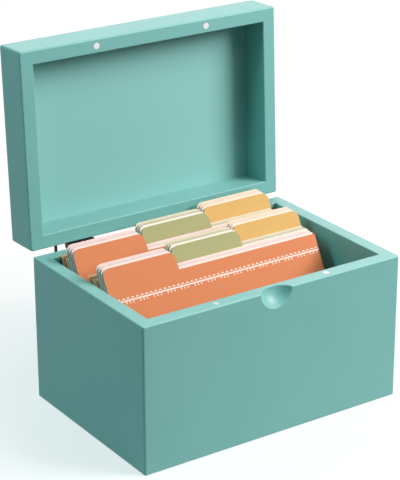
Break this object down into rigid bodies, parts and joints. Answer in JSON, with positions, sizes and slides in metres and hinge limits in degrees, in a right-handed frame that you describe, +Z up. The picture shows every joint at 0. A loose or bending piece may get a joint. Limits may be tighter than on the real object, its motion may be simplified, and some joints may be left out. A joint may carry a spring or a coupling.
{
  "type": "recipe card box",
  "caption": "Painted wooden box for recipe cards: mitred walls, finger scoop in the front rim, magnetic lid hinged at the back, tabbed dividers leaning inside.",
  "frame": {"origin": "centre of the case's underside", "axes": "+X to the right, +Y to the back where the hinges are, +Z up"},
  "size_m": [0.182, 0.153, 0.2178],
  "materials": {
    "painted_wood": "satin paint",
    "magnet": "nickel plated",
    "hinge_metal": "dark bronze",
    "screw": "dark bronze",
    "orange_card": "matt print",
    "green_card": "matt print",
    "yellow_card": "matt print",
    "orange_liner": "matt",
    "green_liner": "matt",
    "yellow_liner": "matt"
  },
  "bodies": {
    "box": {"front_wall": "painted_wood", "back_wall": "painted_wood", "left_wall": "painted_wood", "right_wall": "painted_wood", "bottom_panel": "painted_wood", "box_magnets": "magnet", "left_hinge_box_leaf": "hinge_metal", "right_hinge_box_leaf": "hinge_metal", "left_hinge_pin": "hinge_metal", "right_hinge_pin": "hinge_metal", "box_leaf_screws": "screw"},
    "lid": {"lid_front_rail": "painted_wood", "lid_back_rail": "painted_wood", "lid_left_rail": "painted_wood", "lid_right_rail": "painted_wood", "lid_panel": "painted_wood", "lid_magnets": "magnet", "left_hinge_lid_leaf": "hinge_metal", "right_hinge_lid_leaf": "hinge_metal", "lid_leaf_screws": "screw"},
    "front_orange_set": {"front_orange_divider": "orange_card", "front_orange_liner_1": "orange_liner", "front_orange_liner_2": "orange_liner", "front_orange_liner_3": "orange_liner"},
    "front_green_set": {"front_green_divider": "green_card", "front_green_liner_1": "green_liner", "front_green_liner_2": "green_liner", "front_green_liner_3": "green_liner"},
    "front_yellow_set": {"front_yellow_divider": "yellow_card", "front_yellow_liner_1": "yellow_liner", "front_yellow_liner_2": "yellow_liner", "front_yellow_liner_3": "yellow_liner"},
    "back_orange_set": {"back_orange_divider": "orange_card", "back_orange_liner_1": "orange_liner", "back_orange_liner_2": "orange_liner", "back_orange_liner_3": "orange_liner"},
    "back_green_set": {"back_green_divider": "green_card", "back_green_liner_1": "green_liner", "back_green_liner_2": "green_liner", "back_green_liner_3": "green_liner"},
    "back_yellow_set": {"back_yellow_divider": "yellow_card", "back_yellow_liner_1": "yellow_liner", "back_yellow_liner_2": "yellow_liner", "back_yellow_liner_3": "yellow_liner"}
  },
  "joints": [
    {"name": "lid_hinge", "type": "hinge", "parent": "box", "child": "lid", "pos_m": [0, 0.06313, 0.0934], "axis": [1, 0, 0], "range_deg": [0, 92.3]},
    {"name": "front_orange_tip", "type": "hinge", "parent": "box", "child": "front_orange_set", "pos_m": [0, -0.04945, 0.00413], "axis": [1, 0, 0], "range_deg": [0, 10]},
    {"name": "front_green_tip", "type": "hinge", "parent": "box", "child": "front_green_set", "pos_m": [0, -0.04265, 0.00413], "axis": [1, 0, 0], "range_deg": [0, 10]},
    {"name": "front_yellow_tip", "type": "hinge", "parent": "box", "child": "front_yellow_set", "pos_m": [0, -0.03585, 0.00413], "axis": [1, 0, 0], "range_deg": [0, 10]},
    {"name": "back_orange_tip", "type": "hinge", "parent": "box", "child": "back_orange_set", "pos_m": [0, -0.01425, 0.00413], "axis": [1, 0, 0], "range_deg": [0, 3.6]},
    {"name": "back_green_tip", "type": "hinge", "parent": "box", "child": "back_green_set", "pos_m": [0, -0.00709, 0.00413], "axis": [1, 0, 0], "range_deg": [0, 3.6]},
    {"name": "back_yellow_tip", "type": "hinge", "parent": "box", "child": "back_yellow_set", "pos_m": [0, 0.00007, 0.00413], "axis": [1, 0, 0], "range_deg": [0, 3.6]}
  ],
  "couplings": [
    {"joint": "front_green_tip", "follows": "front_orange_tip", "ratio": 1},
    {"joint": "front_yellow_tip", "follows": "front_orange_tip", "ratio": 1},
    {"joint": "back_orange_tip", "follows": "lid_hinge", "ratio": 0.0385},
    {"joint": "back_green_tip", "follows": "lid_hinge", "ratio": 0.0385},
    {"joint": "back_yellow_tip", "follows": "lid_hinge", "ratio": 0.0385}
  ]
}
